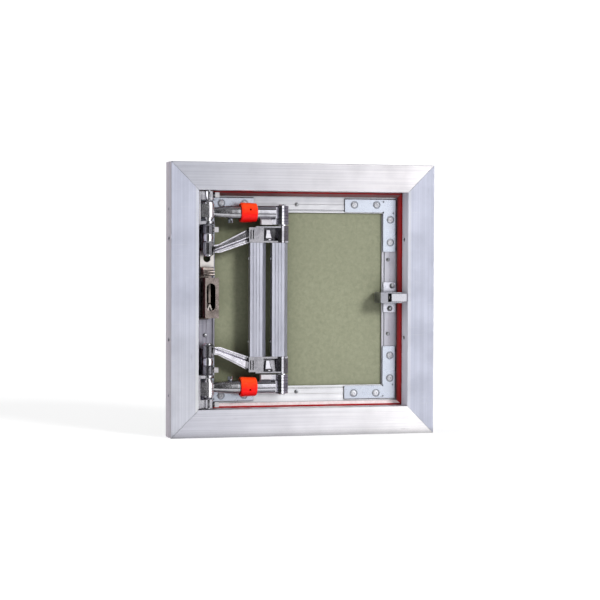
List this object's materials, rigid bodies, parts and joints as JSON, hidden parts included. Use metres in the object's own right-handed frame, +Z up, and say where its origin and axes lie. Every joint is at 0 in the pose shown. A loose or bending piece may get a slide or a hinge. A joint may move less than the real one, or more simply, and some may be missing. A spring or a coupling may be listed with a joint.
{
  "type": "tile access panel",
  "caption": "Square aluminium access panel for a tiled wall: mitred frame, board-faced door on folding two-link arms, touch latch and snap catch.",
  "frame": {"origin": "on the resting face of the bottom frame rail, at half the frame's width and half its depth", "axes": "+Z up, +X to the right seen from the rear (mechanism) side, +Y from the rear face towards the tiled side"},
  "size_m": [0.3, 0.0409, 0.3],
  "materials": {
    "frame_aluminium": "mill finish, fine extrusion lines",
    "key_aluminium": "as cast",
    "door_aluminium": "mill finish, fine extrusion lines",
    "tube_aluminium": "satin, lengthwise lines",
    "red_rubber": "matt extruded rubber",
    "cast_chrome": "chrome over a cast surface",
    "polished_chrome": "polished chrome",
    "zinc_plate": "bright zinc plate",
    "bright_steel": "ground bright steel",
    "spring_steel": "drawn spring wire",
    "nickel_plate": "warm nickel plate",
    "screw_steel": "plated screw steel",
    "orange_plastic": "moulded, satin gloss",
    "white_nylon": "moulded nylon",
    "green_board": "green paper face of moisture resistant gypsum board"
  },
  "bodies": {
    "frame": {"frame_rail_bottom": "frame_aluminium", "frame_rail_top": "frame_aluminium", "frame_rail_left": "frame_aluminium", "frame_rail_right": "frame_aluminium", "frame_corner_keys": "key_aluminium", "door_seal": "red_rubber", "frame_bracket_upper": "cast_chrome", "frame_bracket_lower": "cast_chrome", "frame_bracket_screws": "screw_steel", "frame_pivot_pins": "polished_chrome", "frame_pin_clamps": "zinc_plate", "latch_body": "nickel_plate", "latch_screws": "screw_steel", "latch_pivot_pin": "nickel_plate", "latch_spring": "spring_steel"},
    "latch_jaw": {"latch_jaw": "nickel_plate"},
    "arm_upper": {"arm_root_upper": "polished_chrome", "arm_tip_upper": "polished_chrome", "lock_balls_upper": "spring_steel", "collar_ring_upper": "screw_steel", "collar_spring_upper": "spring_steel", "stop_pad_upper": "white_nylon", "arm_stud_upper": "zinc_plate"},
    "arm_lower": {"arm_root_lower": "polished_chrome", "arm_tip_lower": "polished_chrome", "lock_balls_lower": "spring_steel", "collar_ring_lower": "screw_steel", "collar_spring_lower": "spring_steel", "stop_pad_lower": "white_nylon", "arm_stud_lower": "zinc_plate"},
    "collar_upper": {"release_collar_upper": "orange_plastic"},
    "collar_lower": {"release_collar_lower": "orange_plastic"},
    "bow": {"bow_casting_upper": "cast_chrome", "bow_casting_lower": "cast_chrome", "bow_tube_outer": "tube_aluminium", "bow_tube_inner": "tube_aluminium", "tube_screws": "screw_steel", "elbow_pins": "polished_chrome", "elbow_washers": "polished_chrome"},
    "door": {"door_rail_bottom": "door_aluminium", "door_rail_top": "door_aluminium", "door_rail_left": "door_aluminium", "door_rail_right": "door_aluminium", "door_board": "green_board", "corner_brackets": "zinc_plate", "corner_rivets": "zinc_plate", "board_screws": "screw_steel", "door_bracket_upper": "cast_chrome", "door_bracket_lower": "cast_chrome", "door_bracket_screws": "screw_steel", "door_pivot_pins": "polished_chrome", "door_pin_clamps": "zinc_plate", "pivot_spacers": "polished_chrome", "catch_housing": "zinc_plate", "catch_spring": "spring_steel", "catch_screws": "screw_steel", "latch_striker": "nickel_plate", "striker_plate": "zinc_plate", "striker_screws": "screw_steel"},
    "catch_bolt": {"catch_bolt": "bright_steel"}
  },
  "joints": [
    {"name": "arm_upper_swing", "type": "hinge", "parent": "frame", "child": "arm_upper", "pos_m": [-0.107, -0.0047, 0.246], "axis": [0, 0, 1], "range_deg": [0, 60]},
    {"name": "arm_lower_swing", "type": "hinge", "parent": "frame", "child": "arm_lower", "pos_m": [-0.107, -0.0047, 0.054], "axis": [0, 0, 1], "range_deg": [0, 60]},
    {"name": "elbow_fold", "type": "hinge", "parent": "arm_upper", "child": "bow", "pos_m": [-0.0238, -0.0047, 0.15], "axis": [0, 0, 1], "range_deg": [-120, 0]},
    {"name": "door_swing", "type": "hinge", "parent": "bow", "child": "door", "pos_m": [-0.107, -0.0047, 0.15], "axis": [0, 0, 1], "range_deg": [0, 156]},
    {"name": "collar_upper_slide", "type": "slide", "parent": "arm_upper", "child": "collar_upper", "axis": [-1, 0, 0], "range_m": [0, 0.0044], "stiffness_N_per_m": 300, "springref_m": -0.004, "deforming": ["collar_spring_upper"]},
    {"name": "collar_lower_slide", "type": "slide", "parent": "arm_lower", "child": "collar_lower", "axis": [-1, 0, 0], "range_m": [0, 0.0044], "stiffness_N_per_m": 300, "springref_m": -0.004, "deforming": ["collar_spring_lower"]},
    {"name": "catch_bolt_slide", "type": "slide", "parent": "door", "child": "catch_bolt", "axis": [-1, 0, 0], "range_m": [0, 0.004], "stiffness_N_per_m": 400, "springref_m": -0.004, "deforming": ["catch_spring"]},
    {"name": "latch_jaw_turn", "type": "hinge", "parent": "frame", "child": "latch_jaw", "pos_m": [-0.1056, -0.0045, 0.1342], "axis": [0, 1, 0], "range_deg": [-8, 8], "stiffness_Nm_per_rad": 0.02, "deforming": ["latch_spring"]}
  ],
  "couplings": [
    {"joint": "arm_lower_swing", "follows": "arm_upper_swing", "ratio": 1},
    {"joint": "elbow_fold", "follows": "arm_upper_swing", "ratio": -2},
    {"joint": "door_swing", "follows": "arm_upper_swing", "ratio": 2.6}
  ]
}
